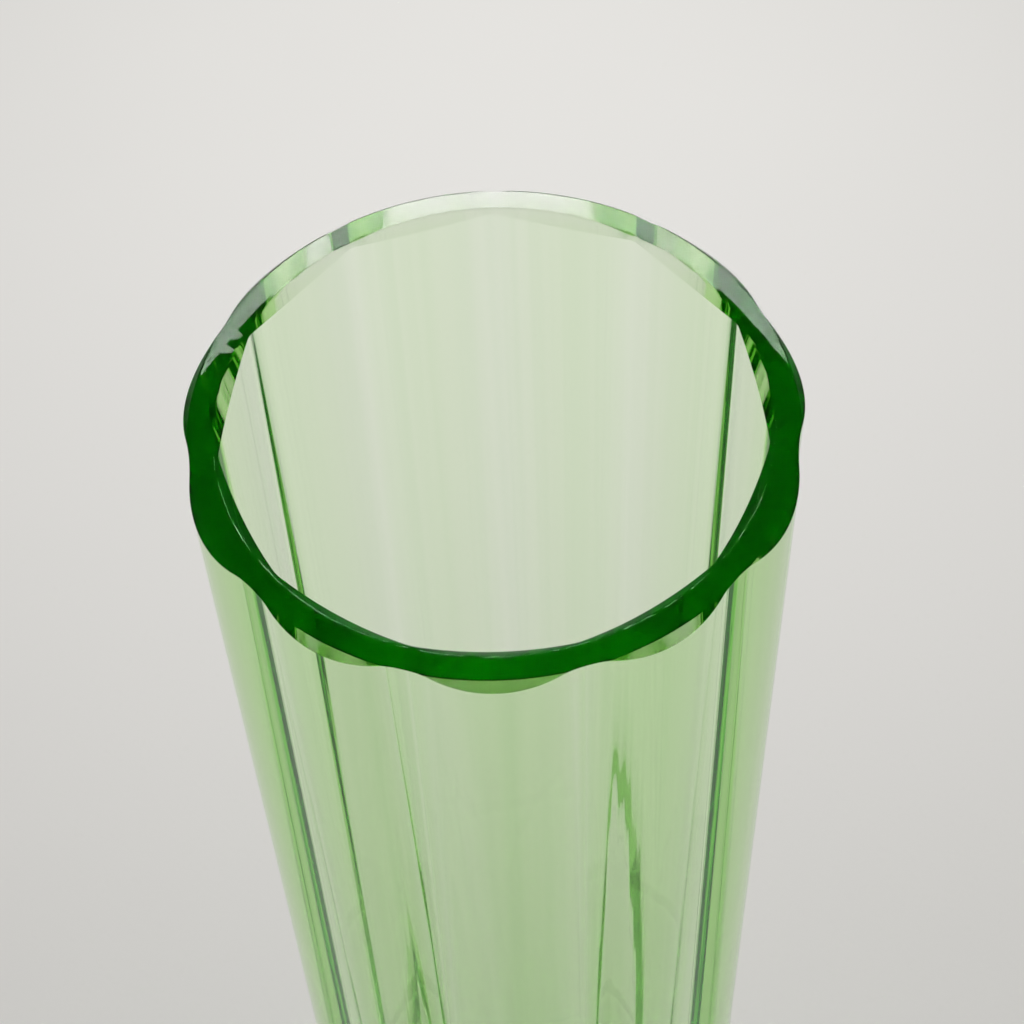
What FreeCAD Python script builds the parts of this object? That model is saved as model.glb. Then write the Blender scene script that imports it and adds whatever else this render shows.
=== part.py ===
"""Thick-walled glass bud vase: one hollow prism of glass, lobed outside and faceted inside.

Millimetres, +Z up. The origin is the centre of the foot, and one lobe faces -Y.
"""

import FreeCAD, Part
import math
import os
import Sketcher

# Driving dimensions. A "reach" is a distance from the axis, a "slope" is in degrees from level.
dimensions = {
    "overall_height": 230.0,
    "lobe_count": 11,
    # outside: round lobes that meet in soft hollow valleys
    "crest_reach": 30.0,
    "valley_reach": 29.05,
    "valley_round": 18.0,
    # inside: shallow facets, one behind each lobe, with softened corners
    "facet_reach": 25.68,
    "corner_reach": 26.30,
    "corner_round": 3.0,
    "floor_thickness": 14.0,
    "floor_round": 2.5,
    # rim: ground flat, with a cone ground off on each side
    "rim_outer_reach": 29.15,
    "rim_outer_slope": 49.0,
    "rim_inner_reach": 26.70,
    "rim_inner_slope": 43.0,
    # foot: ground flat, with its edge ground off
    "foot_reach": 28.30,
    "foot_slope": 45.0,
    # how far a grinding cut's section runs past the glass
    "cut_margin": 1.0,
}

doc = FreeCAD.newDocument("BudVase")
sheet = doc.addObject("Spreadsheet::Sheet", "Dimensions")
for row, (alias, value) in enumerate(dimensions.items(), start=1):
    sheet.set(f"A{row}", alias)
    sheet.set(f"B{row}", str(value))
    sheet.setAlias(f"B{row}", alias)
doc.recompute()

origin = FreeCAD.Vector(0, 0, 0)
up = FreeCAD.Vector(0, 0, 1)
half_pitch = math.pi / sheet.lobe_count


def bind(owner, path, expression):
    """Bind a property to the sheet; a dimension in the expression is written as $name."""
    owner.setExpression(path, expression.replace("$", "Dimensions."))


def origin_feature(body, role):
    """One of the body's own origin planes or axes."""
    return [f for f in body.Origin.OriginFeatures if f.Role == role][0]


def add_sketch(body, name, role):
    """Attach a new sketch to an origin plane of the body."""
    sketch = body.newObject("Sketcher::SketchObject", name)
    sketch.AttachmentSupport = [(origin_feature(body, role), "")]
    sketch.MapMode = "FlatFace"
    return sketch


def fix(sketch, kind, *where):
    """Add a constraint to a sketch."""
    return sketch.addConstraint(Sketcher.Constraint(kind, *where))


def dimension(sketch, name, expression, kind, *where):
    """Add a named dimension to a sketch and bind it to the sheet."""
    sketch.renameConstraint(fix(sketch, kind, *where), name)
    bind(sketch, f"Constraints.{name}", expression)


def seen_from_above(angle, reach):
    """Point at an angle from -Y and a reach from the axis."""
    return FreeCAD.Vector(reach * math.sin(angle), -reach * math.cos(angle), 0)


def arc(centre, start, end):
    """Anticlockwise arc about a centre."""
    circle = Part.Circle(centre, up, (start - centre).Length)
    return Part.ArcOfCircle(circle, circle.parameter(start), circle.parameter(end))


def sector_sketch(body, name, crest, end, rounding, hollow):
    """Draw one pitch of an outline, as a wedge with its point on the axis.

    A wide arc crosses the wedge at the reach `crest`. A small arc of radius `rounding` joins it
    to each side of the wedge at the reach `end`: a valley if hollow, and otherwise a corner.
    """
    sketch = add_sketch(body, name, "XY_Plane")
    sign = "+" if hollow else "-"
    small = getattr(sheet, rounding) if hollow else -getattr(sheet, rounding)
    across, along = getattr(sheet, crest) + small, getattr(sheet, end) + small
    wide_centre = (across**2 - along**2) / (2 * (across - along * math.cos(half_pitch)))

    middle = seen_from_above(0, wide_centre)
    centres = [seen_from_above(angle, along) for angle in (-half_pitch, half_pitch)]
    joins = [centre + (middle - centre).normalize() * small for centre in centres]
    ends = [seen_from_above(angle, getattr(sheet, end)) for angle in (-half_pitch, half_pitch)]
    left, right = (ends[0], joins[0]), (joins[1], ends[1])
    if hollow:
        left, right = left[::-1], right[::-1]
    sketch.addGeometry(Part.LineSegment(origin, ends[0]))
    sketch.addGeometry(arc(centres[0], *left))
    sketch.addGeometry(arc(middle, *joins))
    sketch.addGeometry(arc(centres[1], *right))
    sketch.addGeometry(Part.LineSegment(ends[1], origin))

    # a hollow arc runs the other way round its centre, which swaps its start and its end
    outer, inner = (2, 1) if hollow else (1, 2)
    fix(sketch, "Coincident", 0, 1, -1, 1)
    fix(sketch, "Coincident", 4, 2, -1, 1)
    fix(sketch, "Coincident", 0, 2, 1, outer)
    fix(sketch, "Coincident", 4, 1, 3, inner)
    fix(sketch, "Tangent", 1, inner, 2, 1)
    fix(sketch, "Tangent", 3, outer, 2, 2)
    fix(sketch, "PointOnObject", 1, 3, 0)
    fix(sketch, "PointOnObject", 3, 3, 4)
    fix(sketch, "Equal", 1, 3)
    fix(sketch, "Symmetric", 0, 2, 4, 1, -2)
    dimension(sketch, "pitch", "360 deg / $lobe_count", "Angle", 0, 1, 4, 2, 2 * half_pitch)
    dimension(sketch, "end_reach", f"${end}", "Distance", 0, getattr(sheet, end))
    dimension(sketch, "rounding", f"${rounding}", "Radius", 1, getattr(sheet, rounding))
    near, far = f"(${crest} {sign} ${rounding})", f"(${end} {sign} ${rounding})"
    formula = f"({near}^2 - {far}^2) / (2 * ({near} - {far} * cos(180 deg / $lobe_count)))"
    dimension(sketch, "wide_centre", formula, "DistanceY", 2, 3, -1, 1, wide_centre)
    return sketch


def repeat_round(body, name, feature):
    """Repeat a one-pitch feature around the axis, once for each lobe."""
    pattern = body.newObject("PartDesign::PolarPattern", name)
    pattern.Originals = [feature]
    pattern.Axis = (origin_feature(body, "Z_Axis"), [""])
    pattern.Angle = 360
    bind(pattern, "Occurrences", "$lobe_count")
    body.Tip = pattern
    return pattern


def cone_section(body, name, edge, slope, outside, at_rim):
    """Draw the triangle that a cone takes off an edge of the wall.

    It starts on the rim or the foot, at the reach `edge`, and runs past the glass either
    outward or inward. Its long side leaves the flat face at the angle `slope`.
    """
    sketch = add_sketch(body, name, "XZ_Plane")
    near = getattr(sheet, edge)
    surface, sign = ("$crest_reach", 1) if outside else ("$facet_reach", -1)
    beyond = sheet.crest_reach if outside else sheet.facet_reach
    far = beyond + sign * sheet.cut_margin
    level = sheet.overall_height if at_rim else 0
    depth = abs(far - near) * math.tan(math.radians(getattr(sheet, slope)))
    corners = [
        FreeCAD.Vector(near, level, 0),
        FreeCAD.Vector(far, level, 0),
        FreeCAD.Vector(far, level - depth if at_rim else depth, 0),
    ]
    for side in range(3):
        sketch.addGeometry(Part.LineSegment(corners[side], corners[(side + 1) % 3]))
    for side in range(3):
        fix(sketch, "Coincident", side, 2, (side + 1) % 3, 1)
    fix(sketch, "Horizontal", 0)
    fix(sketch, "Vertical", 1)
    if at_rim:
        dimension(sketch, "level", "$overall_height", "DistanceY", -1, 1, 0, 1, level)
    else:
        fix(sketch, "PointOnObject", 0, 1, -1)
    end = f"({surface} {'+' if outside else '-'} $cut_margin)"
    width = f"({end} - ${edge})" if outside else f"(${edge} - {end})"
    drop = f"{width} * tan(${slope} * 1 deg)"
    dimension(sketch, "edge", f"${edge}", "DistanceX", -1, 1, 0, 1, near)
    dimension(sketch, "end", end, "DistanceX", -1, 1, 1, 1, far)
    lower, higher = ((1, 2), (1, 1)) if at_rim else ((1, 1), (1, 2))
    dimension(sketch, "drop", drop, "DistanceY", *lower, *higher, depth)
    return sketch


def grind(body, name, edge, slope, outside=True, at_rim=True):
    """Grind a cone off an edge of the wall, all the way round."""
    groove = body.newObject("PartDesign::Groove", name)
    groove.Profile = cone_section(body, f"{name}_section", edge, slope, outside, at_rim)
    groove.ReferenceAxis = (origin_feature(body, "Z_Axis"), [""])
    groove.Angle = 360
    body.Tip = groove
    return groove


def round_floor(body, name, base):
    """Round the corner between the floor of the hollow and its wall."""
    floor = sheet.floor_thickness
    level = [
        f"Edge{number}"
        for number, edge in enumerate(base.Shape.Edges, start=1)
        if all(abs(vertex.Z - floor) < 1e-6 for vertex in edge.Vertexes)
    ]
    fillet = body.newObject("PartDesign::Fillet", name)
    fillet.Base = (base, level)
    bind(fillet, "Radius", "$floor_round")
    body.Tip = fillet
    return fillet


def glass_vase():
    """The whole vase: one piece of glass, solid at the foot and hollow above it."""
    body = doc.addObject("PartDesign::Body", "glass_vase")
    body.Label = "glass_vase"
    body.Placement = FreeCAD.Placement(origin, FreeCAD.Rotation())

    lobe = body.newObject("PartDesign::Pad", "lobe")
    lobe.Profile = sector_sketch(
        body, "lobe_outline", "crest_reach", "valley_reach", "valley_round", hollow=True
    )
    bind(lobe, "Length", "$overall_height")
    repeat_round(body, "lobes", lobe)

    outline = sector_sketch(
        body, "facet_outline", "facet_reach", "corner_reach", "corner_round", hollow=False
    )
    bind(outline, "AttachmentOffset.Base.z", "$overall_height")
    facet = body.newObject("PartDesign::Pocket", "facet")
    facet.Profile = outline
    bind(facet, "Length", "$overall_height - $floor_thickness")
    facets = repeat_round(body, "facets", facet)
    doc.recompute()

    round_floor(body, "floor_rounding", facets)
    grind(body, "rim_outer_bevel", "rim_outer_reach", "rim_outer_slope")
    grind(body, "rim_inner_bevel", "rim_inner_reach", "rim_inner_slope", outside=False)
    grind(body, "foot_bevel", "foot_reach", "foot_slope", at_rim=False)
    return body


body = glass_vase()
doc.recompute()

failed = [o.Name for o in doc.Objects if "Invalid" in o.State or "Error" in o.State]
if failed:
    raise RuntimeError(f"not built: {failed}")
cuts = [f for f in body.Group if f.TypeId in ("PartDesign::Pocket", "PartDesign::Groove")]
for cut in cuts:
    if cut.Shape.Volume >= cut.BaseFeature.Shape.Volume:
        raise RuntimeError(f"{cut.Name} cuts nothing")
if body.Shape.isNull() or not body.Shape.isValid() or len(body.Shape.Solids) != 1:
    raise RuntimeError("the vase is not one valid solid")

os.makedirs("parts", exist_ok=True)
body.Shape.exportStep(f"parts/{body.Label}.step")
print(f"{body.Label}: {body.Shape.Volume / 1000:.1f} cm3, {len(body.Shape.Faces)} faces")
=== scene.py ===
import math

import bmesh
import bpy
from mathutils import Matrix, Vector


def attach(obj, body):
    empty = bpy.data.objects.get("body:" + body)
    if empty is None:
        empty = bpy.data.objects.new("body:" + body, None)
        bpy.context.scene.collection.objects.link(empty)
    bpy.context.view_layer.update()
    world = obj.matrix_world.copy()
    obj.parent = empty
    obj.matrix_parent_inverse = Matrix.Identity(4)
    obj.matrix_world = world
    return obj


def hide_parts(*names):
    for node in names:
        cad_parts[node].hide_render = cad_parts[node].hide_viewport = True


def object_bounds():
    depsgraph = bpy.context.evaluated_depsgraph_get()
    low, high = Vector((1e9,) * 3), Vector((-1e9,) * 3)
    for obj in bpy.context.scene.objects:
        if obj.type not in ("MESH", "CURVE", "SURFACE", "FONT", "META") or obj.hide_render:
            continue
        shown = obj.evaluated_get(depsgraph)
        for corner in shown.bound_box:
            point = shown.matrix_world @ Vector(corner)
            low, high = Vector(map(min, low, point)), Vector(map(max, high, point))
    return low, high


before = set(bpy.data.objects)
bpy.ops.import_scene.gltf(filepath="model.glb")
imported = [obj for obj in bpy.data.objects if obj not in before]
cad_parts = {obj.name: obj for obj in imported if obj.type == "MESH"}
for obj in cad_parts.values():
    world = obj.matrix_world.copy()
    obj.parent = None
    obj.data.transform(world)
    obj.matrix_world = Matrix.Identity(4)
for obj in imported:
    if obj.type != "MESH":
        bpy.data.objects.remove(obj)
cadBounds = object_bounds()
bpy.ops.object.select_all(action="DESELECT")


# helpers for working in edit mode

def startMesh(name):
    # a new mesh with a single vertex on the axis, left in edit mode with that vertex selected
    bpy.ops.mesh.primitive_circle_add(vertices=3, radius=0.01)
    piece = bpy.context.object
    piece.name = name
    bpy.ops.object.mode_set(mode="EDIT")
    bpy.ops.mesh.select_mode(type="VERT")    # the pen is a lone vertex, which other modes can't hold
    bpy.ops.mesh.select_all(action="SELECT")
    bpy.ops.mesh.merge(type="CENTER")
    return piece


def penTo(place, fromPlace):
    # draws a straight edge from the pen's vertex
    bpy.ops.mesh.extrude_vertices_move(TRANSFORM_OT_translate={"value": place - fromPlace})


def liftPen(place):
    # carries the first vertex to where the drawing begins
    bpy.ops.transform.translate(value=place)


def selectWhere(piece, test, kind="VERT"):
    # selects the vertices or edges that the test accepts
    bpy.ops.mesh.select_mode(type=kind)
    bpy.ops.mesh.select_all(action="DESELECT")
    work = bmesh.from_edit_mesh(piece.data)
    for item in (work.verts if kind == "VERT" else work.edges):
        if test(item):
            item.select_set(True)
    work.select_flush_mode()
    bmesh.update_edit_mesh(piece.data)


def fromFront(angle, reach, height=0.0):
    # the place at an angle round from -Y and a distance from the axis
    return Vector((reach * math.sin(angle), -reach * math.cos(angle), height))


# the vase, in metres and degrees
vase = {
    "height": cadBounds[1][2],
    "lobes": 11,
    "crestReach": 0.0300,       # outside of the round lobes
    "valleyReach": 0.02905,
    "valleyRound": 0.018,
    "facetReach": 0.02568,      # inside facets, one behind each lobe
    "cornerReach": 0.02630,
    "cornerRound": 0.003,
    "floorThickness": 0.014,
    "floorRound": 0.0025,
    "rimOuterReach": 0.02915,   # flat of the rim, between its two bevels
    "rimOuterSlope": 49,
    "rimInnerReach": 0.02670,
    "rimInnerSlope": 43,
    "footReach": 0.0283,
    "footSlope": 45,
    "edgeSoftness": 0.00012,    # how far polishing has rounded the edges of the rim
    "edgeSteps": 4,
    "floorSteps": 6,
    "toolReach": 0.01,          # how far the cutting cones run past the glass
    "shadingCut": 0.0025,       # from the foot and the rim to the cuts that steady the shading
    "floorCut": 0.0005,         # the same, above the rounding of the floor
    "sharpAngle": 25,
    "sameSpot": 1e-6,           # points closer than this are one point
    "lobeSteps": 36,
    "valleySteps": 8,
    "turnedSteps": 264,
}
halfPitch = math.pi / vase["lobes"]


def pitchOutline(name, middle, end, rounding, hollow):
    # one pitch drawn with three spins, copied round, and closed into a loop at height 0
    small = rounding if hollow else -rounding
    across, along = middle + small, end + small
    wideCentre = (across ** 2 - along ** 2) / (2 * (across - along * math.cos(halfPitch)))
    wide = fromFront(0, wideCentre)
    sides = [fromFront(a, along) for a in (-halfPitch, halfPitch)]
    ends = [fromFront(a, end) for a in (-halfPitch, halfPitch)]
    joins = [c + (wide - c).normalized() * small for c in sides]

    def turned(centre, start, stop):
        a, b = start - centre, stop - centre
        return math.atan2(a.x * b.y - a.y * b.x, a.dot(b))

    piece = startMesh(name)
    liftPen(ends[0])
    for centre, start, stop, steps in ((sides[0], ends[0], joins[0], vase["valleySteps"]),
                                       (wide, joins[0], joins[1], vase["lobeSteps"]),
                                       (sides[1], joins[1], ends[1], vase["valleySteps"])):
        # with no window the spin runs the other way round, so its angle is turned over
        bpy.ops.mesh.spin(steps=steps, angle=-turned(centre, start, stop), center=centre, axis=(0, 0, 1))
    bpy.ops.mesh.select_all(action="SELECT")
    for _ in range(vase["lobes"] - 1):
        bpy.ops.mesh.duplicate()
        bpy.ops.transform.rotate(value=2 * halfPitch, orient_axis="Z", center_override=(0, 0, 0))
    bpy.ops.mesh.select_all(action="SELECT")
    bpy.ops.mesh.remove_doubles(threshold=vase["sameSpot"])
    return piece


def raiseWalls(piece, low, high):
    # fills the loop and pulls it up into a closed prism
    bpy.ops.mesh.select_all(action="SELECT")
    bpy.ops.mesh.edge_face_add()
    bpy.ops.transform.translate(value=(0, 0, low))
    bpy.ops.mesh.extrude_region_move(TRANSFORM_OT_translate={"value": (0, 0, high - low)})
    bpy.ops.mesh.select_all(action="SELECT")
    bpy.ops.mesh.normals_make_consistent(inside=False)


def turnedBlank(name, section, softEdge=None):
    # a section drawn out from the axis and turned round it; one edge of it may be softened
    piece = startMesh(name)
    liftPen(section[0])
    for before, after in zip(section, section[1:]):
        penTo(after, before)
    if softEdge is not None:
        corner = section[softEdge]
        selectWhere(piece, lambda v: (v.co - corner).length < vase["sameSpot"])
        bpy.ops.mesh.bevel(offset=vase["edgeSoftness"], segments=vase["edgeSteps"], affect="VERTICES")
    bpy.ops.mesh.select_all(action="SELECT")
    bpy.ops.mesh.spin(steps=vase["turnedSteps"], angle=2 * math.pi, center=(0, 0, 0), axis=(0, 0, 1))
    bpy.ops.mesh.select_all(action="SELECT")
    bpy.ops.mesh.remove_doubles(threshold=vase["sameSpot"])
    bpy.ops.mesh.normals_make_consistent(inside=False)
    bpy.ops.object.mode_set(mode="OBJECT")
    return piece


def combine(piece, tool, how):
    # cuts or trims the piece with a tool, and puts the tool away
    bpy.ops.object.select_all(action="DESELECT")
    piece.select_set(True)
    bpy.context.view_layer.objects.active = piece
    cut = piece.modifiers.new(how.lower(), "BOOLEAN")
    cut.operation, cut.object, cut.solver = how, tool, "EXACT"
    bpy.ops.object.modifier_apply(modifier=cut.name)
    bpy.data.objects.remove(tool)


def makeVase():
    top, past, floorTop = vase["height"], vase["toolReach"], vase["floorThickness"]
    piece = pitchOutline("glassVase", vase["crestReach"], vase["valleyReach"], vase["valleyRound"], True)
    raiseWalls(piece, 0, top)
    bpy.ops.object.mode_set(mode="OBJECT")

    # rim and foot are turned on the outside: the blank keeps only what is within it
    rimRun = past * math.tan(math.radians(vase["rimOuterSlope"]))
    footRun = past * math.tan(math.radians(vase["footSlope"]))
    blank = turnedBlank("blank", [
        Vector((0, 0, 0)), Vector((vase["footReach"], 0, 0)),
        Vector((vase["footReach"] + past, 0, footRun)),
        Vector((vase["rimOuterReach"] + past, 0, top - rimRun)),
        Vector((vase["rimOuterReach"], 0, top)), Vector((0, 0, top))], softEdge=4)
    combine(piece, blank, "INTERSECT")

    # the hollow, with its floor rounded into the walls
    hollow = pitchOutline("hollow", vase["facetReach"], vase["cornerReach"], vase["cornerRound"], False)
    raiseWalls(hollow, floorTop, top + past)
    selectWhere(hollow, lambda e: all(abs(v.co.z - floorTop) < vase["sameSpot"] for v in e.verts), "EDGE")
    bpy.ops.mesh.bevel(offset=vase["floorRound"], segments=vase["floorSteps"])
    bpy.ops.object.mode_set(mode="OBJECT")
    combine(piece, hollow, "DIFFERENCE")

    # the mouth is ground to a cone on the inside
    mouthRun = past * math.tan(math.radians(vase["rimInnerSlope"]))
    soft = vase["edgeSoftness"]
    mouth = turnedBlank("mouth", [
        Vector((0, 0, top - mouthRun)), Vector((vase["rimInnerReach"] - past, 0, top - mouthRun)),
        Vector((vase["rimInnerReach"] - soft, 0, top - soft * mouthRun / past)),
        Vector((vase["rimInnerReach"] + soft, 0, top)),
        Vector((vase["rimInnerReach"] + 2 * soft, 0, top + soft)), Vector((0, 0, top + soft))])
    combine(piece, mouth, "DIFFERENCE")

    bpy.ops.object.mode_set(mode="EDIT")
    bpy.ops.mesh.select_all(action="SELECT")
    bpy.ops.mesh.remove_doubles(threshold=vase["sameSpot"])
    # cuts near the foot, floor and rim keep their curves from bending the shading of the walls
    for level in (vase["shadingCut"], floorTop + vase["floorRound"] + vase["floorCut"],
                  top - vase["shadingCut"]):
        bpy.ops.mesh.select_all(action="SELECT")
        bpy.ops.mesh.bisect(plane_co=(0, 0, level), plane_no=(0, 0, 1))
    bpy.ops.object.mode_set(mode="OBJECT")
    bpy.ops.object.shade_smooth_by_angle(angle=math.radians(vase["sharpAngle"]))
    # wide faces lead the shading, so the rim's flat stays flat beside its softened edge
    lead = piece.modifiers.new("lead", "WEIGHTED_NORMAL")
    lead.mode, lead.weight, lead.keep_sharp = "FACE_AREA", 100, True
    bpy.ops.object.modifier_apply(modifier=lead.name)
    return piece


glassVase = makeVase()
print("vase modelled:", len(glassVase.data.polygons), "faces")


# green glass
greenGlass = {
    "index": 1.18,
    "absorbRed": 24,              # per metre
    "absorbGreen": 5.5,
    "absorbBlue": 40,
    "clearTint": (0.985, 1.0, 0.975, 1),
    "striaTint": (0.93, 0.975, 0.915, 1),
    "striaeAround": 620,          # fine draw lines down the walls
    "striaeAlong": 3,
    "striaeDetail": 2,
    "striaeFade": (0.42, 0.72),
    "striaDepth": 0.000012,
    "rimRoughness": 0.006,        # the rim is ground, and not quite as glossy as the walls
    "rimDepth": 0.004,            # the ground faces are no further down than this
    "rimLean": 0.3,               # and face up more than this
}


def makeGlass():
    material = bpy.data.materials.new("greenGlass")
    material.use_nodes = True
    tree = material.node_tree
    shader = tree.nodes["Principled BSDF"]
    output = tree.nodes["Material Output"]

    def add(kind, **settings):
        node = tree.nodes.new(kind)
        for key, value in settings.items():
            setattr(node, key, value)
        return node

    def join(out, into):
        tree.links.new(out, into)

    def twoWay(how, first, second):
        node = add("ShaderNodeMath", operation=how)
        for socket, value in zip(node.inputs, (first, second)):
            if isinstance(value, (int, float)):
                socket.default_value = value
            else:
                join(value, socket)
        return node.outputs[0]

    shader.inputs["Transmission Weight"].default_value = 1
    shader.inputs["Metallic"].default_value = 0
    shader.inputs["IOR"].default_value = greenGlass["index"]
    shader.inputs["Roughness"].default_value = 0

    coords = add("ShaderNodeTexCoord")
    place = add("ShaderNodeSeparateXYZ")
    join(coords.outputs["Object"], place.inputs[0])

    # the rim's flat and bevels: near the top, and facing up
    form = add("ShaderNodeNewGeometry")
    lean = add("ShaderNodeSeparateXYZ")
    join(form.outputs["True Normal"], lean.inputs[0])
    atRim = twoWay("GREATER_THAN", place.outputs[2], vase["height"] - greenGlass["rimDepth"])
    ground = twoWay("MULTIPLY", atRim, twoWay("GREATER_THAN", lean.outputs[2], greenGlass["rimLean"]))
    walls = twoWay("SUBTRACT", 1, ground)
    join(twoWay("MULTIPLY", ground, greenGlass["rimRoughness"]), shader.inputs["Roughness"])

    # draw lines: noise that is fine round the vase and long down it, ground away at the rim
    stretch = add("ShaderNodeMapping")
    stretch.inputs["Scale"].default_value = (greenGlass["striaeAround"],) * 2 + (greenGlass["striaeAlong"],)
    join(coords.outputs["Object"], stretch.inputs["Vector"])
    striae = add("ShaderNodeTexNoise")
    striae.inputs["Scale"].default_value = 1
    striae.inputs["Detail"].default_value = greenGlass["striaeDetail"]
    join(stretch.outputs[0], striae.inputs["Vector"])
    tint = add("ShaderNodeValToRGB")
    for stop, position, colour in zip(tint.color_ramp.elements, greenGlass["striaeFade"],
                                      (greenGlass["clearTint"], greenGlass["striaTint"])):
        stop.position, stop.color = position, colour
    lines = twoWay("MULTIPLY", striae.outputs["Fac"], walls)
    join(lines, tint.inputs[0])
    join(tint.outputs[0], shader.inputs["Base Color"])
    bump = add("ShaderNodeBump")
    bump.inputs["Distance"].default_value = greenGlass["striaDepth"]
    join(lines, bump.inputs["Height"])
    join(bump.outputs[0], shader.inputs["Normal"])

    # the glass is coloured all through
    body = add("ShaderNodeVolumeAbsorption")
    absorbed = [greenGlass[k] for k in ("absorbRed", "absorbGreen", "absorbBlue")]
    density = max(absorbed) * 1.001    # a little over, so that no channel is quite black
    body.inputs["Density"].default_value = density
    body.inputs["Color"].default_value = tuple(1 - a / density for a in absorbed) + (1,)
    join(body.outputs[0], output.inputs["Volume"])
    return material


glassVase.data.materials.clear()
glassVase.data.materials.append(makeGlass())
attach(glassVase, "root")
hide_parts("glass_vase")
print("glass finished")


# floor, lights and camera
studio = {
    "floorSize": 3.0,
    "floorColour": (0.80, 0.79, 0.765, 1),
    "floorGrain": (0.78, 0.77, 0.745, 1),
    "grainScale": 14,
    "grainDetail": 6,
    "floorRoughness": 0.75,
    "floorGap": 0.0003,           # keeps the foot off the very same level
    "roomLight": 0.09,
    "roomColour": (1, 0.955, 0.90, 1),
    "boxTurn": 0,                 # degrees round from straight behind
    "boxTilt": 40,                # degrees above level
    "boxDistance": 0.55,
    "boxSize": (0.24, 0.21),
    "boxPower": 4.15,
    "lightBounces": 32,           # enough for light to find its way out of the glass
}


def makeFloor():
    bpy.ops.mesh.primitive_plane_add(size=studio["floorSize"], location=(0, 0, -studio["floorGap"]))
    floor = bpy.context.object
    floor.name = "studioFloor"
    bpy.ops.object.transform_apply(location=True)
    material = bpy.data.materials.new("paleTable")
    material.use_nodes = True
    tree = material.node_tree
    shader = tree.nodes["Principled BSDF"]
    coords = tree.nodes.new("ShaderNodeTexCoord")
    grain = tree.nodes.new("ShaderNodeTexNoise")
    grain.inputs["Scale"].default_value = studio["grainScale"]
    grain.inputs["Detail"].default_value = studio["grainDetail"]
    mix = tree.nodes.new("ShaderNodeMix")
    mix.data_type = "RGBA"
    mix.inputs[6].default_value = studio["floorColour"]
    mix.inputs[7].default_value = studio["floorGrain"]
    tree.links.new(coords.outputs["Object"], grain.inputs["Vector"])
    tree.links.new(grain.outputs["Fac"], mix.inputs[0])
    tree.links.new(mix.outputs[2], shader.inputs["Base Color"])
    shader.inputs["Roughness"].default_value = studio["floorRoughness"]
    floor.data.materials.append(material)


def makeLights():
    world = bpy.data.worlds.new("room")
    bpy.context.scene.world = world
    world.use_nodes = True
    world.node_tree.nodes["Background"].inputs[0].default_value = studio["roomColour"]
    world.node_tree.nodes["Background"].inputs[1].default_value = studio["roomLight"]
    rim = Vector((0, 0, vase["height"]))
    turn, tilt = math.radians(studio["boxTurn"]), math.radians(studio["boxTilt"])
    away = Vector((math.sin(turn) * math.cos(tilt), math.cos(turn) * math.cos(tilt), math.sin(tilt)))
    bpy.ops.object.light_add(type="AREA", location=rim + away * studio["boxDistance"])
    box = bpy.context.object
    box.name = "softBox"
    box.rotation_euler = away.to_track_quat("Z", "Y").to_euler()
    box.data.shape = "RECTANGLE"
    box.data.size, box.data.size_y = studio["boxSize"]
    box.data.energy = studio["boxPower"]


camera = {
    "place": (0.00515, -0.13408, 0.17465),    # from the middle of the rim
    "turn": (35.1253, 1.5193, -0.5405),       # degrees
    "lens": 81.263,
    "sensor": 36,
    "clipStart": 0.005,
}


def makeCamera():
    eye = Vector((0, 0, vase["height"])) + Vector(camera["place"])
    bpy.ops.object.camera_add(location=eye, rotation=[math.radians(a) for a in camera["turn"]])
    view = bpy.context.object
    view.name = "viewCamera"
    view.data.lens = camera["lens"]
    view.data.sensor_width = camera["sensor"]
    view.data.clip_start = camera["clipStart"]
    view.data.dof.use_dof = False
    bpy.context.scene.camera = view


makeFloor()
makeLights()
makeCamera()
scene = bpy.context.scene
scene.view_settings.view_transform = "Standard"
for kind in ("max_bounces", "transmission_bounces", "glossy_bounces"):
    setattr(scene.cycles, kind, studio["lightBounces"])
print("studio set")
